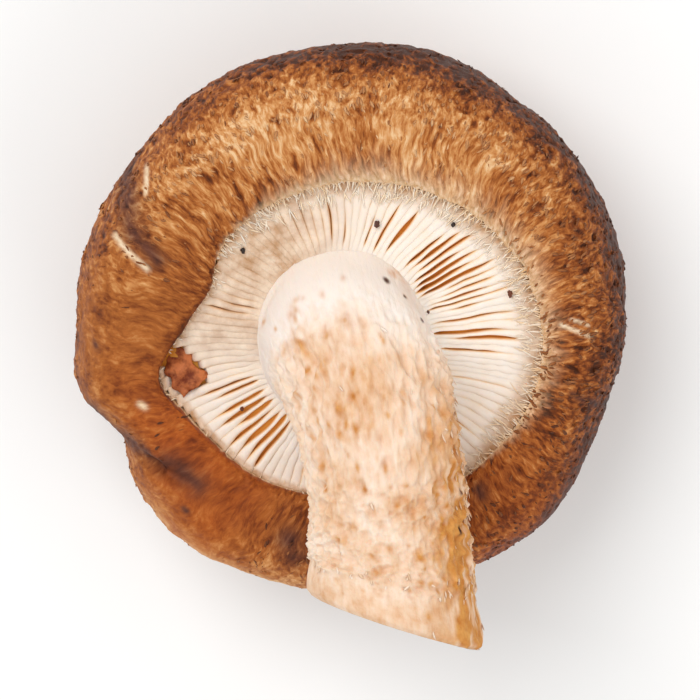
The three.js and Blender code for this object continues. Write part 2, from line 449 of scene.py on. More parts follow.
def cap_scale_thread():
    """Scales of the cap skin: felted tufts of dry threads, tan at the tip and brown below."""
    stops = [(0.0, "#5a2d14"), (0.35, "#96592c"), (0.7, "#c68c59"), (1.0, "#e2b98a")]
    return shaded_by_thread("felted_cap_scales", stops, {
        "Roughness": 0.72, "Specular IOR Level": 0.25, "Sheen Weight": 0.06, "Sheen Roughness": 0.5})


def stem_flesh():
    """Stem: firm cream fibres under a torn, scurfy skin that browns in flecks, matt and soft."""
    material, tree = new_material("fibrous_stem_flesh")
    grain = add(tree, "ShaderNodeAttribute", attribute_name="grain").outputs["Vector"]
    fibre_place = add(tree, "ShaderNodeMapping", {
        "Vector": grain, "Scale": (1 / 0.7, 1 / 0.7, 1 / 3.5)})
    fibres = add(tree, "ShaderNodeTexNoise", {
        "Vector": fibre_place.outputs["Vector"], "Scale": 1.0, "Detail": 4.0,
        "Roughness": 0.6}).outputs["Fac"]
    scurf = add(tree, "ShaderNodeTexNoise", {
        "Vector": grain, "Scale": 1 / 1.3, "Detail": 5.0, "Roughness": 0.65}).outputs["Fac"]
    clouds = add(tree, "ShaderNodeTexNoise", {
        "Vector": grain, "Scale": 1 / 4.0, "Detail": 3.0}).outputs["Fac"]
    mark = {name: add(tree, "ShaderNodeAttribute", attribute_name=name).outputs["Fac"]
            for name in ("fleck", "blush", "white", "speck")}
    shade = add(tree, "ShaderNodeMath", {0: fibres, 1: 0.35, 2: 0.0}, operation="MULTIPLY_ADD")
    for pattern, weight in ((scurf, 0.55), (clouds, 0.45), (mark["white"], 0.42), (mark["blush"], -0.33)):
        shade = add(tree, "ShaderNodeMath", {0: pattern, 1: weight, 2: shade.outputs[0]},
                    operation="MULTIPLY_ADD")
    flesh = add(tree, "ShaderNodeValToRGB", {"Fac": shade.outputs[0]}, stops=[
        (0.2, "#dba77b"), (0.42, "#ecc9a9"), (0.65, "#f6dfca"), (1.0, "#fcf0e6")])
    ochre = add(tree, "ShaderNodeValToRGB", {"Fac": scurf}, stops=[(0.3, "#be732d"), (0.7, "#e0a357")])
    base = add(tree, "ShaderNodeMix", {0: mark["fleck"], MIX_A: flesh.outputs["Color"],
                                       MIX_B: ochre.outputs["Color"]}, data_type="RGBA").outputs[MIX_RESULT]
    base = add(tree, "ShaderNodeMix", {0: mark["speck"], MIX_A: base, MIX_B: colour("#4a2413")},
               data_type="RGBA").outputs[MIX_RESULT]
    height = add(tree, "ShaderNodeMath", {0: scurf, 1: 0.8, 2: fibres}, operation="MULTIPLY_ADD")
    ridges = add(tree, "ShaderNodeBump", {
        "Height": height.outputs[0], "Strength": 0.8, "Distance": 0.25 * MM})
    shader = add(tree, "ShaderNodeBsdfPrincipled", {
        "Base Color": base, "Normal": ridges.outputs["Normal"], "Roughness": 0.68,
        "IOR": 1.4, "Specular IOR Level": 0.3,
        "Subsurface Weight": 0.2, "Subsurface Scale": 1.2 * MM, "Subsurface Radius": (1.0, 0.6, 0.38)})
    add(tree, "ShaderNodeOutputMaterial", {"Surface": shader.outputs["BSDF"]})
    return material


def stem_scale_thread():
    """Shreds of stem skin: thin torn fibres, cream with tan ends, matt."""
    stops = [(0.0, "#b97b48"), (0.3, "#dcae80"), (0.65, "#f0d3b6"), (1.0, "#fbeddf")]
    return shaded_by_thread("torn_stem_fibres", stops, {"Roughness": 0.75, "Specular IOR Level": 0.25})


def compost():
    """Crumbs of the growing block: damp dark sawdust, slightly shiny."""
    stops = [(0.0, "#24140d"), (0.7, "#6b3318")]
    return shaded_by_thread("damp_sawdust_crumb", stops, {"Roughness": 0.5})


def table_white():
    """The surface under it: smooth white board, matt, with the faintest mottle."""
    material, tree = new_material("matt_white_board")
    place = add(tree, "ShaderNodeTexCoord")
    mottle = add(tree, "ShaderNodeTexNoise", {
        "Vector": place.outputs["Object"], "Scale": 30.0, "Detail": 3.0})
    tone = add(tree, "ShaderNodeValToRGB", {"Fac": mottle.outputs["Fac"]}, stops=[
        (0.3, "#f8f8f7"), (0.7, "#fafaf9")])
    shader = add(tree, "ShaderNodeBsdfPrincipled", {
        "Base Color": tone.outputs["Color"], "Roughness": 0.7, "Specular IOR Level": 0.2})
    add(tree, "ShaderNodeOutputMaterial", {"Surface": shader.outputs["BSDF"]})
    return material


# ---------------------------------------------------------------- the cap

CAP_SIDES = 540
CAP_ROWS = (84, 50, 36, 6, 4)  # dome, outer margin, lip, hollow's wall, hollow's floor

# Where the skin is scratched to the pale flesh: start, end and half width
SCRATCHES = [
    ((-27.2, 11.8), (-23.5, 8.3), 0.30),
    ((-23.9, 19.6), (-23.7, 17.0), 0.26),
    ((-24.4, -7.8), (-24.0, -8.1), 0.36),
    ((23.8, 1.7), (27.4, 0.2), 0.20),
    ((25.0, 2.3), (27.0, 1.6), 0.15),
]
# Bruises on the skin, purplish brown; the three along the fold also paint the shade in its crease
BRUISES_AND_FOLD_SHADE = [
    ((-26.4, 18.2), (-24.9, 12.4), 1.5),
    ((-24.9, 12.4), (-22.2, 9.2), 1.0),
    # these three lie along the fold: bruising with painted shade in its crease
    ((-30.2, -9.6), (-26.6, -13.2), 1.0),
    ((-26.2, -12.8), (-22.0, -15.6), 1.2),
    ((-21.4, -14.6), (-18.2, -17.2), 1.7),
    ((-7.4, -24.0), (-6.8, -25.6), 1.7),
    ((14.6, -18.0), (14.9, -18.8), 0.9),
    ((25.2, -6.6), (30.0, -9.6), 0.45),
    ((-29.7, -1.0), (-29.6, -1.4), 0.4),
    ((-19.5, -20.4), (-19.3, -20.7), 0.5),
]
FOLD = ((-30.4, -12.6), (-18.6, -17.2))
PLATE_COUNT = 150  # plates of skin on the dome, with cracks between them


def cap_profile():
    """The cap's half section, one stretch after another, as radius and height."""
    turn = np.linspace(0, math.pi / 2, 200)
    dome = np.column_stack([
        CAP_RADIUS * np.sin(turn),
        lerp(WIDEST, DOME_TOP, np.clip(np.cos(turn), 0, 1) ** DOME_POWER)])
    roll = np.column_stack([lerp(CREST_RADIUS, CAP_RADIUS, np.cos(turn)), WIDEST * (1 - np.sin(turn))])
    lip = np.column_stack([
        lerp(CREST_RADIUS, HOLLOW_LENGTH, np.sin(turn)), HOLLOW_MOUTH * (1 - np.cos(turn))])
    wall = np.array([[HOLLOW_LENGTH, HOLLOW_MOUTH], [HOLLOW_LENGTH, HOLLOW_FLOOR]])
    floor = np.array([[HOLLOW_LENGTH, HOLLOW_FLOOR], [0.5, HOLLOW_FLOOR]])
    dome[0, 0] = 0.12
    return resample([dome, roll, lip, wall, floor], CAP_ROWS)


CAP_PROFILE = cap_profile()
# How far along the section each row is, from the top of the dome, and its landmarks
CAP_WAY = np.cumsum(np.concatenate([[0], np.linalg.norm(np.diff(CAP_PROFILE, axis=0), axis=1)]))
WIDEST_WAY, CREST_WAY, MOUTH_WAY = CAP_WAY[np.cumsum(CAP_ROWS)[:3]]


def cap_surface():
    """The cap's smooth skin as a grid, with the angle and the section's radius of each point."""
    angle, radius = np.broadcast_arrays(np.arange(CAP_SIDES) * 360 / CAP_SIDES, CAP_PROFILE[:, :1])
    height = np.broadcast_to(CAP_PROFILE[:, 1:], radius.shape)
    in_hollow = np.arange(len(CAP_PROFILE)) >= CAP_ROWS[0] + CAP_ROWS[1]
    outwards = np.where(in_hollow[:, None], smooth(radius, HOLLOW_LENGTH, CREST_RADIUS), 1.0)[..., None]
    inwards = np.minimum(radius / HOLLOW_LENGTH, 1)[..., None]
    inside = lerp(np.array(HOLLOW_CENTRE), hollow_edge(angle), inwards)
    flat = lerp(inside, outline_point(angle, radius), outwards)
    return np.concatenate([flat, height[..., None]], axis=-1), angle, radius


def grain_of(points, angle, way):
    """Places measured along and across the threads of the skin, which run out to the margin."""
    sway = 0.6 * noise(points, 4.5, 3) + 0.28 * noise(points, 1.8, 4)
    turn = np.radians(angle) + sway / 27
    return np.stack([27 * np.cos(turn), 27 * np.sin(turn), way + 0.4 * sway], axis=-1)


def bareness(angle, way):
    """1 where the margin's skin is smooth and bare of scales: the lobe beside the fold."""
    bare = bell(angle, 183, 28) + 0.95 * bell(angle, 232, 24) + 0.45 * bell(angle, 318, 18)
    return np.clip(bare, 0, 1) * smooth(way, WIDEST_WAY + 1, WIDEST_WAY + 5)


def skin_tone_and_shade(points, angle, way):
    """How pale the skin is, from about 0 for dark brown to 1 for tan, with painted shade on the margin's
    outer side at the top and on the right.
    """
    crest = np.exp(-(((way - CREST_WAY) / 5.5) ** 2))
    outer = np.exp(-(((way - WIDEST_WAY - 2) / 5.0) ** 2))
    inner = np.exp(-(((way - MOUTH_WAY) / 3.0) ** 2))
    tone = 0.22 + crest * (0.42 * bell(angle, 95, 60) - 0.12 * bell(angle, 352, 30))
    # painted shade: the margin's outer side is darker on the right and at the top; it is paler at the lower
    # left
    tone = tone - 0.46 * outer * (bell(angle, 15, 52) + bell(angle, 320, 25))
    tone = tone + outer * (0.80 * bell(angle, 243, 24) - 0.42 * bell(angle, 90, 40))
    pale = 0.10 * bell(angle, 55, 40) + 0.68 * bell(angle, 0, 28)
    tone = tone + inner * (pale - 0.50 * bell(angle, 97, 30))
    tone = tone - inner * (0.16 * bell(angle, 315, 22) + 0.44 * bell(angle, 180, 30))
    return tone - 0.06 * smooth(WIDEST_WAY - way, 0, 6) + 0.10 * noise(points, 5.0, 53)


def cell_cracks(points, count, seed):
    """How far each point is from the nearest border between cells, in millimetres."""
    random = np.random.default_rng(seed)
    turn = random.uniform(0, 2 * math.pi, count)
    out = CAP_RADIUS * np.sqrt(random.uniform(0, 1, count)) * 0.98
    rise = lerp(WIDEST, DOME_TOP, np.sqrt(1 - (out / CAP_RADIUS) ** 2) ** DOME_POWER)
    seeds = np.column_stack([out * np.cos(turn), out * np.sin(turn), rise])
    flat = points.reshape(-1, 3)
    nearest = np.full((2, len(flat)), 1e9)
    for seed_point in seeds:
        away = np.linalg.norm(flat - seed_point, axis=1)
        nearer = np.minimum(nearest[0], away)
        nearest[1] = np.minimum(nearest[1], np.maximum(nearest[0], away))
        nearest[0] = nearer
    return (nearest[1] - nearest[0]).reshape(points.shape[:-1])


def strongest(points, streaks):
    """The strongest of several streaks at each point; each is its start, end and half width."""
    return np.max([streak(points, *one) for one in streaks], axis=0)


def press_flat(grid):
    """Flattens what would reach below the floor, where the dome rests on it."""
    world = leaned(grid) + PLACE
    world[..., 2] = np.maximum(world[..., 2], 0.0)
    return (world - PLACE) @ np.array(LEAN)


def make_cap(material):
    grid, angle, radius = cap_surface()
    way = np.broadcast_to(CAP_WAY[:, None], radius.shape)
    on_dome = 1 - smooth(way, WIDEST_WAY - 6, WIDEST_WAY + 1)
    band = (1 - on_dome) * (1 - smooth(way, MOUTH_WAY - 0.2, MOUTH_WAY + 0.4))
    outside = 1 - smooth(way, MOUTH_WAY + 1, MOUTH_WAY + 2)
    bare = bareness(angle, way)
    grain = lerp(grain_of(grid, angle, way), grid, smooth(WIDEST_WAY - way, 12, 26)[..., None])

    fur = noise(grain, (0.68, 0.68, 1.5), 11) + 0.7 * noise(grain, (0.42, 0.42, 0.8), 12)
    pits = smooth(-noise(grain, (0.8, 0.8, 1.0), 13) - 0.28, 0, 0.4)
    height = 0.50 * noise(grid, 15.0, 20) + 0.22 * rough(grid, 6.0, 2, 21) + 0.06 * noise(grid, 1.4, 23)
    height = height + (0.15 * fur - 0.22 * pits) * (1 - 0.7 * bare)
    height = height + 0.14 * bare * noise(grain, (2.4, 2.4, 9.0), 24)
    height = height * outside * (1 - 0.6 * smooth(way, MOUTH_WAY - 1.5, MOUTH_WAY))

    # The margin: its crest rises and falls
    ring = np.stack([9 * np.cos(np.radians(angle)), 9 * np.sin(np.radians(angle)), 0 * angle], axis=-1)
    height = height + 0.35 * noise(ring, 4.0, 31) * np.exp(-(((way - CREST_WAY) / 4.5) ** 2))

    # The fold that runs in from the notch, with a swollen lobe each side
    swelling = 0.3 * streak(grid, *FOLD, 3.0) - 2.0 * streak(grid, *FOLD, 1.0)
    fading = smooth(radius, 23.5, 28) * (1 - 0.9 * smooth(radius, 28, 30.5))
    height = height + swelling * (1 - on_dome) * fading
    scratch = strongest(grid, SCRATCHES) * band
    height = height - 0.22 * scratch

    # The top of the dome breaks up into plates with pale flesh between them
    warped = grid + 1.1 * np.stack([noise(grid, 3.5, s) for s in (41, 42, 43)], axis=-1)
    border = cell_cracks(warped, PLATE_COUNT, 44)
    cracked = on_dome * smooth(noise(grid, 12.0, 45) + 0.25 + 1.3 * smooth(radius, 30, 12), 0.2, 0.9)
    crack = (1 - smooth(border, 0.25, 1.1)) * cracked
    height = height - 0.55 * crack + 0.12 * cracked * smooth(border, 0.6, 2.5)
    height = height * smooth(set_down(grid)[..., 2] / MM, 0.0, 1.2)
    shape = press_flat(grid + normals_of(grid) * height[..., None])

    # bruises, with painted shade along the fold's crease
    bruise_and_fold_shade = strongest(grid, BRUISES_AND_FOLD_SHADE) * band * np.clip(1.0 + 0.5 * noise(grid, 1.6, 51), 0, 1)
    glow = bell(angle, 206, 16) * smooth(way, WIDEST_WAY + 7, CREST_WAY + 1)
    glow = glow + 0.65 * bell(angle, 230, 14) + 0.45 * bell(angle, 300, 24)
    glow = np.clip(glow, 0, 1) * band * np.clip(0.85 + 0.4 * noise(grid, 4.0, 52), 0, 1)
    cottony = 0.85 * bell(angle, 40, 58) + bell(angle, 352, 32) + 0.55 * bell(angle, 105, 40)
    cottony = np.clip(cottony, 0, 1.1)
    reach = np.maximum(0.5 + 2.9 * cottony + 0.6 * noise(grain, (0.8, 0.8, 4.0), 54), 0.2)
    wool = smooth(way, MOUTH_WAY - 1.6 * reach, MOUTH_WAY - 0.25 * reach)
    flesh = np.clip(scratch * 1.2 + 0.85 * crack * smooth(noise(grid, 6.0, 55), -0.5, 0.3), 0, 1)
    # the relief mark paints shade into the colour: darker in the skin's pits, paler on its raised fur
    marks = {"tone": skin_tone_and_shade(grid, angle, way), "relief": (0.5 * fur - 0.9 * pits) * (1 - 0.75 * bare),
             "bruise_and_fold_shade": bruise_and_fold_shade, "glow": glow, "flesh": flesh, "wool": wool, "bare": bare}
    points, faces = tube(shape)
    marks = {name: with_ends(field) for name, field in marks.items()}
    make_piece("cap_skin", points, faces, material, "cap", marks, with_ends(grain))
    return shape


# ---------------------------------------------------------------- small threads and scales

def blades(start, heading, out, length, width, lift, curl, thickness=0.8, stations=3):
    """Many slim pointed slivers lying on a skin, each a closed body with three sides."""
    share = np.linspace(0, 1, stations + 1)
    aside = unit(np.cross(out, heading))
    swell = np.sin(np.pi * np.clip(share * 0.92 + 0.06, 0, 1)) ** 0.7
    rise = share[None] ** 1.5 * lift[:, None]
    centre = start[:, None] + heading[:, None] * (share[None, :, None] * length[:, None, None])
    centre = centre + out[:, None] * rise[..., None]
    centre = centre + aside[:, None] * (curl[:, None] * share[None] ** 2)[..., None]
    half = (0.5 * width[:, None] * swell[None])[..., None]
    ring = np.stack([
        centre + aside[:, None] * half,
        centre + out[:, None] * half * thickness,
        centre - aside[:, None] * half,
    ], axis=2)
    count = len(start)
    per = (stations + 1) * 3
    first = (np.arange(count) * per)[:, None, None]
    quads = (grid_faces(stations + 1, 3)[None] + first).reshape(-1, 4)
    ends = (np.array([[2, 1, 0], [per - 3, per - 2, per - 1]])[None] + first).reshape(-1, 3)
    return ring.reshape(-1, 3), quads.tolist() + ends.tolist(), np.tile(np.repeat(share, 3), count), per


def surface_frame(grid, row, side):
    """The place, outward normal and along direction of grid spots given by fractional numbers."""
    rows, sides, _ = grid.shape
    r0 = np.clip(np.floor(row).astype(int), 1, rows - 3)
    s0 = np.floor(side).astype(int) % sides
    s1 = (s0 + 1) % sides
    fr = np.clip(row - r0, 0, 1)[:, None]
    fs = (side - np.floor(side))[:, None]
    place = lerp(lerp(grid[r0, s0], grid[r0 + 1, s0], fr), lerp(grid[r0, s1], grid[r0 + 1, s1], fr), fs)
    along = grid[r0 + 1, s0] - grid[r0 - 1, s0]
    around = grid[r0, s1] - grid[r0, s0]
    return place, unit(np.cross(around, along)), unit(along)


TUFT_COUNT = 11000  # before thinning out


def make_cap_scales(skin, material):
    """Tufts of the felted skin, thickest on the margin and sparse on the bare lobe."""
    random = np.random.default_rng(RANDOM_SEED + 1)
    count = TUFT_COUNT
    on_band = random.uniform(0, 1, count) < 0.72
    way = np.where(on_band, random.uniform(WIDEST_WAY - 1, MOUTH_WAY - 3.4, count),
                   random.uniform(WIDEST_WAY - 26, WIDEST_WAY, count))
    angle = random.uniform(0, 360, count)
    keep = random.uniform(0, 0.9, count) > bareness(angle, way)
    way, angle = way[keep], angle[keep]
    place, out, along = surface_frame(skin, np.interp(way, CAP_WAY, np.arange(len(CAP_WAY))),
                                      angle * CAP_SIDES / 360)
    clear = set_down(place)[:, 2] / MM > 1.5
    place, out, along, way, angle = (a[clear] for a in (place, out, along, way, angle))
    count = len(place)
    lean = 0.55 * noise(place, 3.0, 61) + random.normal(0, 0.25, count)
    heading = swung(along, np.cross(out, along), lean)
    short, long = random.uniform(0.4, 0.8, count), random.uniform(0.5, 1.3, count)
    length = lerp(short, long, smooth(way, WIDEST_WAY, CREST_WAY))
    width = random.uniform(0.22, 0.46, count)
    lift = random.uniform(-0.14, 0.02, count)
    points, faces, share, per = blades(
        place - 0.08 * out, heading, out, length, width, lift, random.normal(0, 0.16, count), 0.55)
    # the tufts take the skin's tone, its painted shade included
    tone = skin_tone_and_shade(place, angle, way) - 0.5 * bareness(angle, way) + random.normal(0.05, 0.11, count)
    shade = np.clip(np.repeat(tone, per) + 0.14 * share, 0, 1)
    return make_piece("cap_scales", points, faces, material, "cap", {"shade": shade})


# ---------------------------------------------------------------- the gills

GILL_COUNT = 108
BLADE_RINGS = 34
PIT = ((-20.6, -3.4), (-18.6, -5.6))  # where gills are torn off beside the margin
PIT_EDGE = -4.6  # height of what is left of them


def splayed(angle):
    """Where the gills stand apart, with ochre gaps between them."""
    return np.clip(bell(angle, 42, 36) + 0.5 * bell(angle, 2, 12) + bell(angle, 219, 20), 0, 1)


def cottony_side(angle):
    """Where the torn veil still covers the outer ends of the gills."""
    return np.clip(bell(angle, 40, 55) + bell(angle, 345, 38) + 0.9 * bell(angle, 108, 42), 0, 1)


def gill_gaps(random):
    """The slit after each gill: its width, where it is widest and half its length."""
    gaps = []
    for i in range(GILL_COUNT):
        angle = (i + 0.5) * 360 / GILL_COUNT
        apart = float(splayed(angle))
        is_open = random.uniform() < 0.10 + 0.78 * apart
        widest = random.uniform(0.42, 0.80) * lerp(1.0, 0.72, float(bell(angle, 219, 30)))
        width = lerp(0.15, widest, apart) if is_open else 0.02
        gaps.append((width, random.uniform(0.25, 0.62), random.uniform(0.2, 0.42)))
    return gaps


def gill_blade(number, gap_before, gap_after, random):
    """One thin blade, as a tube of rings from the stem to the margin, how deep each point sits (for the
    painted shade down the gaps) and its stain.
    """
    angle = number * 360 / GILL_COUNT
    share = np.linspace(0, 1, BLADE_RINGS)
    inner, outer = root_circle(angle, ROOT_RADIUS - 0.5 - 2.0 * bell(angle, 18, 45)), hollow_edge(angle, 0.1)
    line = outer - inner
    reach = np.linalg.norm(line)
    aside = np.array([-line[1], line[0]]) / reach
    spacing = 2 * math.pi / GILL_COUNT * (ROOT_RADIUS + share * reach)
    middle = inner + share[:, None] * line
    around = np.column_stack([middle, 0 * share])
    own = np.column_stack([middle, 0 * share + 3.7 * number])
    covered = smooth(share * reach, reach - 1.0 - 2.2 * cottony_side(angle), reach - 0.4)
    closing = np.maximum(covered, 1 - smooth(share * reach, 0.4, 2.2))
    sections = []
    for side, (width, widest, length) in ((-1, gap_before), (1, gap_after)):
        slit = width * np.exp(-np.abs((share - widest) / length) ** 3) * (1 - closing)
        half = side * (0.5 * spacing + 0.08 - 0.5 * slit)
        is_open = np.clip(slit / 0.25, 0, 1)
        flank = lerp(lerp(0.95, 0.80, is_open), 1.0, 0.9 * closing)
        shoulder = lerp(lerp(0.98, 0.93, is_open), 1.0, 0.9 * closing)
        sections.append([(half, 0.0), (half, flank), (0.8 * half, shoulder), (0.4 * half, 0.995)])
    section = sections[1] + [(0.0, 1.0)] + sections[0][::-1]
    uneven = 0.10 * noise(own, 1.3, 73) + 0.30 * noise(around, 7.0, 74)
    edge = GILL_EDGE + uneven + random.uniform(-0.16, 0.08)
    up_stem = (1.9 + 0.8 * noise(own, 1.0, 78)[0]) * bell(angle, 15, 50) + 0.5 * bell(angle, 95, 50)
    edge = edge + (up_stem - 0.3) * (1 - smooth(share * reach, 0.0, 2.6))
    edge = lerp(edge, HOLLOW_MOUTH + 0.1 + 0.1 * noise(own, 1.0, 77), covered)
    torn = smooth(streak(middle, *PIT, 2.1), 0.35, 0.75)
    edge = lerp(edge, PIT_EDGE + 0.3 * noise(own, 0.8, 75), torn)
    bed = HOLLOW_FLOOR + GAP + 0.1
    wave = 0.45 * noise(around, 6.0, 71) + 0.06 * noise(own, 2.0, 72)
    tilt = 0.6 * noise(around, 9.0, 76)
    ring = np.zeros((len(share), len(section), 3))
    for k, (across, up) in enumerate(section):
        ring[:, k, :2] = middle + aside * (across + wave + tilt * up)[:, None]
        ring[:, k, 2] = lerp(bed, edge, up)
    # how far each point sits below the gill's edge, for the painted shade down the gaps; a little more
    # towards the top left
    depth = np.clip((edge[:, None] + 0.03 - ring[..., 2]) / 1.3 + 0.07 * bell(angle, 140, 40), 0, 1)
    veiled = np.maximum(covered, 0.95 * bell(angle, 132, 32) + 0.5 * bell(angle, 178, 20))
    marks = {"depth": depth, "stained": torn[:, None] + 0 * depth, "veiled": veiled[:, None] + 0 * depth}
    return ring, marks


def make_gills(material):
    random = np.random.default_rng(RANDOM_SEED + 2)
    gaps = gill_gaps(random)
    made = [gill_blade(number, gaps[number - 1], gaps[number], random) for number in range(GILL_COUNT)]
    points, faces = joined(tube(ring) for ring, _ in made)
    marks = {name: np.concatenate([with_ends(fields[name]) for _, fields in made])
             for name in ("depth", "stained", "veiled")}
    return make_piece("gill_blades", points, faces, material, "gills", marks, points)


BED_SIDES = 240
# The bed's section, from share 0 at the stem to 1 at the margin, and height
BED_SECTION = [(0.0, -6.9), (1.0, -6.9), (1.0, -3.6), (0.75, -3.6), (0.5, -3.65), (0.25, -3.6), (0.0, -3.6)]


def make_gill_bed(material):
    """The flesh that the gills grow from, at the bottom of the hollow."""
    angle = np.arange(BED_SIDES) * 360 / BED_SIDES
    rings = []
    for share, z in BED_SECTION:
        flat = lerp(root_circle(angle, ROOT_RADIUS - 1.0), hollow_edge(angle, 0.1), share)
        rings.append(np.column_stack([flat, np.full(BED_SIDES, z)]))
    faces = grid_faces(len(rings), BED_SIDES).tolist()
    last = (len(rings) - 1) * BED_SIDES
    for side in range(BED_SIDES):
        after = (side + 1) % BED_SIDES
        faces.append([last + side, last + after, after, side])
    points = np.concatenate(rings)
    # the bed takes the deepest ochre: its own tan with painted shade
    marks = even_marks(len(points), depth=1, stained=0, veiled=0)
    return make_piece("gill_bed", points, faces, material, "gills", marks, points)


SCRAP_CORNERS = np.array([[-20.4, -1.6], [-16.4, -5.2], [-19.6, -7.6], [-22.0, -4.6]])
SCRAP_HALF_THICKNESS = 0.17


def make_scrap(material):
    """A crumpled brown scrap of skin, lying in the pit where the gills are torn off."""
    steps = 16
    u, v = np.meshgrid(np.linspace(0, 1, steps), np.linspace(0, 1, steps), indexing="ij")
    near = lerp(SCRAP_CORNERS[0], SCRAP_CORNERS[1], u[..., None])
    far = lerp(SCRAP_CORNERS[3], SCRAP_CORNERS[2], u[..., None])
    flat = lerp(near, far, v[..., None])
    lift = -3.0 + 0.9 * u + 0.5 * v - 0.9 * (u - 0.5) ** 2
    base = np.concatenate([flat, lift[..., None]], axis=-1)
    base[..., :2] += 0.55 * np.stack([noise(base, 1.5, 111), noise(base, 1.5, 112)], axis=-1)
    base[..., 2] += 0.38 * noise(base, 1.4, 113) + 0.16 * noise(base, 0.6, 114) - 0.6
    top, under = base + (0, 0, SCRAP_HALF_THICKNESS), base - (0, 0, SCRAP_HALF_THICKNESS)
    count = steps * steps
    faces = []
    for i in range(steps - 1):
        for j in range(steps - 1):
            quad = [i * steps + j, (i + 1) * steps + j, (i + 1) * steps + j + 1, i * steps + j + 1]
            faces += [quad[::-1], [count + corner for corner in quad]]
    edge = [(i, 0) for i in range(steps)] + [(steps - 1, j) for j in range(1, steps)]
    edge += [(i, steps - 1) for i in range(steps - 2, -1, -1)] + [(0, j) for j in range(steps - 2, 0, -1)]
    ring = [i * steps + j for i, j in edge]
    for one, after in zip(ring, ring[1:] + ring[:1]):
        faces.append([one, after, count + after, count + one])
    points = np.concatenate([top.reshape(-1, 3), under.reshape(-1, 3)])
    marks = even_marks(len(points), depth=0, stained=1, veiled=0)
    return make_piece("torn_scrap", points, faces, material, "gills", marks, points)


VEIL_THREAD_COUNT = 3000  # before thinning out


def make_veil(material):
    """Threads of the torn veil, from the lip of the margin over the outer ends of the gills."""
    random = np.random.default_rng(RANDOM_SEED + 3)
    count = VEIL_THREAD_COUNT
    angle = random.uniform(0, 360, count)
    keep = random.uniform(0, 1, count) < 0.05 + 0.95 * cottony_side(angle)
    angle = angle[keep]
    thick = cottony_side(angle)
    count = len(angle)
    inset = random.uniform(-1.8, 1.5, count) * (0.25 + 0.75 * thick)
    on_lip = np.clip(-inset / (CREST_RADIUS - HOLLOW_LENGTH), 0, 1)
    height = np.where(inset < 0, HOLLOW_MOUTH * (1 - np.sqrt(1 - (1 - on_lip) ** 2)), GILL_EDGE + 0.2)
    place = np.column_stack([hollow_edge(angle, inset), height + random.uniform(-0.1, 0.1, count)])
    towards = np.array([*HOLLOW_CENTRE, 0]) - place
    towards[:, 2] = 0
    towards = unit(towards)
    swing = random.normal(0, 0.35, count)
    aside = np.column_stack([-towards[:, 1], towards[:, 0], np.zeros(count)])
    heading = swung(towards, aside, swing)
    heading[:, 2] = np.where(inset < -0.3, -0.35, -0.02)
    out = np.tile([0.0, 0.0, 1.0], (count, 1))
    length = random.uniform(0.8, 2.2, count) * (0.4 + 0.6 * thick)
    width = random.uniform(0.10, 0.24, count)
    points, faces, share, per = blades(
        place - (0, 0, 0.04), heading, out, length, width,
        random.uniform(-0.1, 0.05, count), random.normal(0, 0.2, count), 0.3)
    tone = random.normal(0.80, 0.14, count) + 0.2 * np.minimum(inset, 0)
    shade = np.clip(np.repeat(tone, per) + 0.1 * share, 0, 1)
    return make_piece("veil_threads", points, faces, material, "gills", {"shade": shade})


# Crumbs of the dark growing block that stick to the gills: place and size
CRUMBS = [
    ((9.7, 17.2, -2.2), 0.95), ((2.7, 12.9, -2.5), 0.85), ((18.0, 4.8, -2.3), 0.8),
    ((11.5, 12.9, -2.4), 0.6), ((8.6, 2.6, -2.3), 0.5), ((-12.8, -9.0, -2.5), 0.6),
    ((-12.6, 9.8, -2.4), 0.7), ((14.9, -18.2, -0.9), 1.1), ((17.5, -14.7, -1.0), 0.6),
]
CRUMB_HALF_SIZES = np.array([0.36, 0.5, 0.26])


def crumb(number, place, size):
    """One lumpy crumb, as a tube of rings."""
    rings, sides = 9, 14
    rise, turn = np.meshgrid(
        np.linspace(0.15, math.pi - 0.15, rings), np.arange(sides) * 2 * math.pi / sides, indexing="ij")
    ball = np.stack([np.sin(rise) * np.cos(turn), np.sin(rise) * np.sin(turn), -np.cos(rise)], axis=-1)
    ball = ball * (1 + 0.7 * noise(ball + 9 * number, 0.7, 121)[..., None])
    return ball * CRUMB_HALF_SIZES * size + np.array(place)


def make_crumbs(material):
    made = [crumb(number, place, size) for number, (place, size) in enumerate(CRUMBS)]
    points, faces = joined(tube(grid) for grid in made)
    shade = [with_ends(np.full(grid.shape[:2], number % 3 / 3)) for number, grid in enumerate(made)]
    return make_piece("compost_crumbs", points, faces, material, "gills",
                      {"shade": np.concatenate(shade)})


# ---------------------------------------------------------------- the stem

STEM_SIDES = 340
STEM_ROWS = 250
SKIN_END = STEM_LENGTH - 6.0  # the outer skin is pared off from here to the cut


def stem_radius(along):
    radius = lerp(ROOT_RADIUS, SHAFT_RADIUS, smooth(along, 0, BEND_END))
    return lerp(radius, CUT_RADIUS, smooth(along, BEND_END, STEM_LENGTH))


def straight_place(angle, along):
    """Places on the stem as if it were straight and even, for the noise and grain on its skin."""
    turn = np.radians(angle)
    return np.stack([10 * np.cos(turn), 10 * np.sin(turn), along], axis=-1)


def stem_point(angle, along, radius):
    turn = np.radians(angle)
    return bend_stem(radius * np.cos(turn) - 0.6 * smooth(along, 10, BEND_END), radius * np.sin(turn), along)


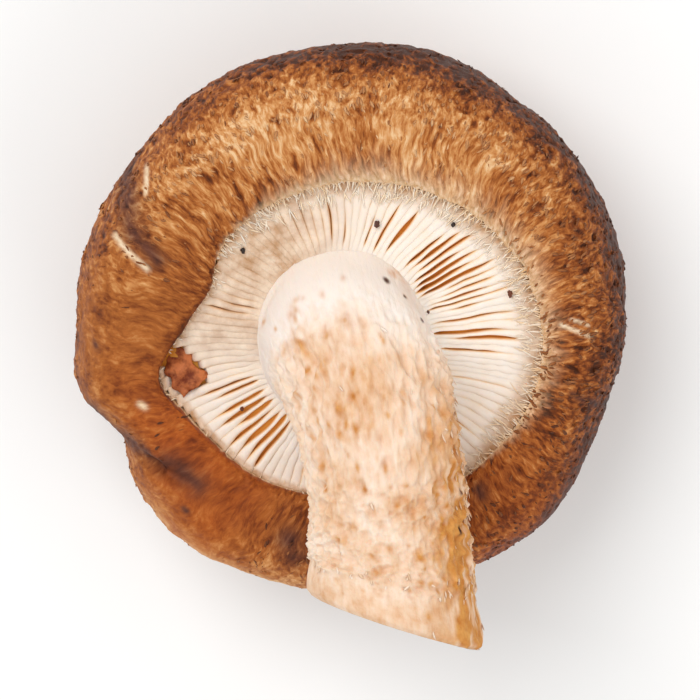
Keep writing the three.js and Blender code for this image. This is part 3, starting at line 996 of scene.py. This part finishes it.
def stem_relief(straight, angle, along):
    """How far the stem's skin stands out or in: lumps, fibres, scurf and the pared end."""
    at_root = 1 - smooth(along, 7, 15)
    skin_end = SKIN_END + 1.2 * noise(straight, 3.0, 94) + 0.8 * bell(angle, 60, 50)
    pared = smooth(along - skin_end, -0.5, 0.9)
    skinned = (1 - at_root) * (1 - pared)
    lumps = 0.42 * noise(straight, 9.0, 81) + 0.30 * noise(straight, 4.0, 82)
    fibres = noise(straight, (0.9, 0.9, 5.0), 83) + 0.6 * noise(straight, (0.5, 0.5, 2.4), 84)
    plates = 0.6 - np.abs(noise(straight, (2.4, 2.4, 2.0), 85)) - 0.5 * np.abs(noise(straight, 1.1, 86))
    relief = lumps * (1 - 0.5 * at_root) + 0.06 * fibres
    scurf = 0.20 * noise(straight, 0.8, 87) + 0.14 * noise(straight, 0.45, 95)
    relief = relief + (0.85 * (plates - 0.3) + scurf) * skinned
    torn_lumps = 0.5 * noise(straight, (1.3, 1.3, 1.7), 96)
    relief = relief + torn_lumps * bell(angle, 12, 22) * smooth(along, 13, 19)
    ragged = smooth(noise(straight, (2.0, 2.0, 1.0), 88), -0.3, 0.4)
    ragged = np.exp(-(((along - skin_end) / 0.7) ** 2)) * ragged
    relief = relief + 0.22 * ragged - 0.22 * pared + 0.4 * smooth(along, STEM_LENGTH - 5, STEM_LENGTH - 1)
    flare = 0.6 * np.exp(-(((along - 3.5) / 2.2) ** 2)) * (1 - 0.9 * bell(angle, 188, 50))
    flare = flare - 1.7 * bell(angle, 18, 42) * np.exp(-(((along - 4.5) / 4.5) ** 2))
    groove = 0.5 * np.exp(-(((along - 4.8) / 0.6) ** 2)) * bell(angle, 188, 50)
    relief = relief * smooth(along, 1, 6) + flare - groove
    return relief - 0.45 * smooth(along, STEM_LENGTH - 0.8, STEM_LENGTH) ** 2, at_root


# The stem's darker flecks, as groups: angle, its spread, place along, its spread and how many
FLECK_GROUPS = [(118, 26, 17, 4.5, 130), (90, 40, 24, 6, 80), (38, 16, 28, 6, 80), (60, 30, 34, 4, 40)]
# Single dark specks: place along, angle and size
SPECKS = [(7.2, 63, 0.45), (8.2, 50, 0.25), (10.0, 38, 0.3), (30.0, 27, 0.5), (26.0, 20, 0.4)]
CUT_FACE_STEPS = 26


def torn_side(angle, along):
    """Where the stem's skin is torn and browned, down its right side to the cut."""
    return bell(angle, 33, 24) * smooth(along, 19, 27) + bell(angle, 14, 16) * smooth(along, 14, 19)


def stem_flecks(straight, angle, along):
    random = np.random.default_rng(RANDOM_SEED + 4)
    fleck = np.zeros(along.shape)
    for middle, spread, place, place_spread, count in FLECK_GROUPS:
        for _ in range(count):
            turn, spot = random.normal(middle, spread), random.normal(place, place_spread)
            size = random.gamma(2.0, 0.2) + 0.15
            across = turned_from(angle, turn) * math.pi / 180 * 9.5
            away = np.hypot(across / size, (along - spot) / (size * random.uniform(0.7, 1.6)))
            fleck = np.maximum(fleck, random.uniform(0.3, 0.95) * np.exp(-(away**2)))
    fleck = fleck * np.clip(0.75 + 0.9 * noise(straight, 0.8, 89), 0, 1.2)
    torn = torn_side(angle, along) * smooth(noise(straight, (1.2, 1.2, 3.0), 90), -0.5, 0.3)
    return np.clip(fleck + 0.9 * torn, 0, 1)


def make_stem(material):
    along, angle = np.broadcast_arrays(
        np.linspace(0, STEM_LENGTH, STEM_ROWS)[:, None], (np.arange(STEM_SIDES) * 360 / STEM_SIDES)[None])
    straight = straight_place(angle, along)
    relief, at_root = stem_relief(straight, angle, along)
    grid = stem_point(angle, along, stem_radius(along) + relief)
    speck = np.zeros(along.shape)
    for place, middle, size in SPECKS:
        across = turned_from(angle, middle) * math.pi / 180 * 10
        speck = np.maximum(speck, np.exp(-((across / size) ** 2 + ((along - place) / size) ** 2) ** 2))
    marks = {
        "fleck": stem_flecks(straight, angle, along),
        "blush": np.clip((1 - at_root) * (0.45 + 0.5 * noise(straight, 5.0, 91)) + torn_side(angle, along)
                         + 0.45 * smooth(along, SKIN_END, STEM_LENGTH), 0, 1),
        "white": at_root,
        "speck": speck,
    }

    # The cut face: rings that shrink to the middle, slightly hollow and rough
    turn = np.radians(angle[-1])
    steps = np.linspace(1, 0, CUT_FACE_STEPS)[1:-1, None]
    rim = (stem_radius(STEM_LENGTH) + relief[-1]) * steps
    flat = np.stack([rim * np.cos(turn), rim * np.sin(turn), 0 * rim], axis=-1)
    dip = 0.35 * (1 - steps**2) + 0.16 * noise(flat, 1.8, 92) + 0.08 * noise(flat, 0.7, 93)
    face = bend_stem(flat[..., 0], flat[..., 1], STEM_LENGTH - dip * smooth(1 - steps, 0, 0.12))
    shares = np.broadcast_to(steps, rim.shape)
    face_marks = {"fleck": 0.55 * smooth(shares, 0.86, 1.0), "blush": 0.2 + 0.3 * shares,
                  "white": np.full(rim.shape, 0.35), "speck": np.zeros(rim.shape)}
    face_grain = np.concatenate(
        [straight[-1:, :, :2] * steps[..., None], np.full((*rim.shape, 1), STEM_LENGTH)], axis=-1)
    marks = {name: with_ends(np.concatenate([field, face_marks[name]])) for name, field in marks.items()}
    points, faces = tube(np.concatenate([grid, face]))
    grain = with_ends(np.concatenate([straight, face_grain]))
    return make_piece("stem_body", points, faces, material, "stem", marks, grain)


SHRED_COUNT = 2400  # before thinning out


def make_stem_scales(material):
    """Shreds of torn skin along the stem, thickest on its right side and at the pared edge."""
    random = np.random.default_rng(RANDOM_SEED + 5)
    count = SHRED_COUNT
    along = random.uniform(12, STEM_LENGTH - 1.0, count)
    angle = random.uniform(0, 360, count)
    likely = 0.03 + 0.8 * bell(angle, 8, 20) + 0.3 * np.exp(-(((along - SKIN_END) / 1.5) ** 2))
    keep = random.uniform(0, 1, count) < likely * (1 - 0.75 * smooth(along, SKIN_END + 0.8, SKIN_END + 2))
    along, angle = along[keep], angle[keep]
    count = len(along)
    radius = stem_radius(along) + stem_relief(straight_place(angle, along), angle, along)[0]
    place = stem_point(angle, along, radius - 0.02)
    heading = unit(stem_point(angle, along + 0.3, radius - 0.02) - place)
    out = unit(np.cross(stem_point(angle + 1.5, along, radius) - place, heading))
    swing = random.normal(0, 0.5, count)
    heading = swung(heading, np.cross(out, heading), swing)
    ragged = bell(angle, 8, 25)
    length = random.uniform(0.35, 1.1, count) * (1 + 0.6 * ragged)
    width = random.uniform(0.18, 0.5, count)
    lift = random.uniform(-0.08, 0.06, count) + 0.22 * ragged
    curl = random.normal(0, 0.15, count)
    points, faces, share, per = blades(place, heading, out, length, width, lift, curl, 0.5)
    tone = random.normal(0.66, 0.12, count) - 0.25 * ragged
    shade = np.clip(np.repeat(tone, per) + 0.08 * share, 0, 1)
    return make_piece("stem_scales", points, faces, material, "stem", {"shade": shade})


# ---------------------------------------------------------------- the set

VIEW_TILT = math.radians(-15)  # the camera looks from a little behind the gills' own axis
VIEW_DISTANCE = 0.7
VIEW_FIELD = 0.080  # what the picture takes in at the mushroom's distance
SENSOR_WIDTH = 36
FLOOR_SIZE = 3
# Each softbox's place, width and power
SOFTBOXES = {
    "key_softbox": ((-0.35, 0.5, 0.9), 0.7, 5.0),
    "fill_softbox": ((0.6, -0.5, 0.7), 0.8, 1.8),
}
SOFTBOX_AIM = Vector((0, 0, 0.02))


def make_floor():
    bpy.ops.mesh.primitive_plane_add(size=FLOOR_SIZE)
    floor = bpy.context.object
    floor.name = "floor"
    floor.data.materials.append(table_white())


def make_light(name, place, size, power):
    light = bpy.data.lights.new(name, "AREA")
    light.shape = "DISK"
    light.size = size
    light.energy = power
    lamp = bpy.data.objects.new(name, light)
    bpy.context.scene.collection.objects.link(lamp)
    lamp.location = place
    lamp.rotation_euler = (SOFTBOX_AIM - Vector(place)).to_track_quat("-Z", "Y").to_euler()


def make_studio():
    scene = bpy.context.scene
    world = bpy.data.worlds.new("soft_white_room")
    world.use_nodes = True
    background = world.node_tree.nodes["Background"]
    background.inputs["Color"].default_value = colour("#ffffff")
    background.inputs["Strength"].default_value = 0.72
    scene.world = world
    scene.view_settings.view_transform = "Standard"
    for name, (place, size, power) in SOFTBOXES.items():
        make_light(name, place, size, power)


def make_camera():
    low, high = (Vector(corner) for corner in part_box("cap"))
    middle = (low + high) / 2
    turn = LEAN @ Matrix.Rotation(VIEW_TILT, 3, "X")
    aim = Vector((middle.x, middle.y - 0.0015, high.z))
    lens = bpy.data.cameras.new("camera")
    lens.sensor_width = SENSOR_WIDTH
    lens.lens = SENSOR_WIDTH * VIEW_DISTANCE / VIEW_FIELD
    camera = bpy.data.objects.new("camera", lens)
    camera.matrix_world = Matrix.Translation(aim + turn @ Vector((0, 0, VIEW_DISTANCE))) @ turn.to_4x4()
    bpy.context.scene.collection.objects.link(camera)
    bpy.context.scene.camera = camera


make_camera()
make_studio()
make_floor()
make_cap_scales(make_cap(dry_cap_skin()), cap_scale_thread())
gill_look = gill_tissue()
make_gill_bed(gill_look)
make_gills(gill_look)
make_scrap(gill_look)
make_crumbs(compost())
make_veil(veil_thread())
make_stem(stem_flesh())
make_stem_scales(stem_scale_thread())
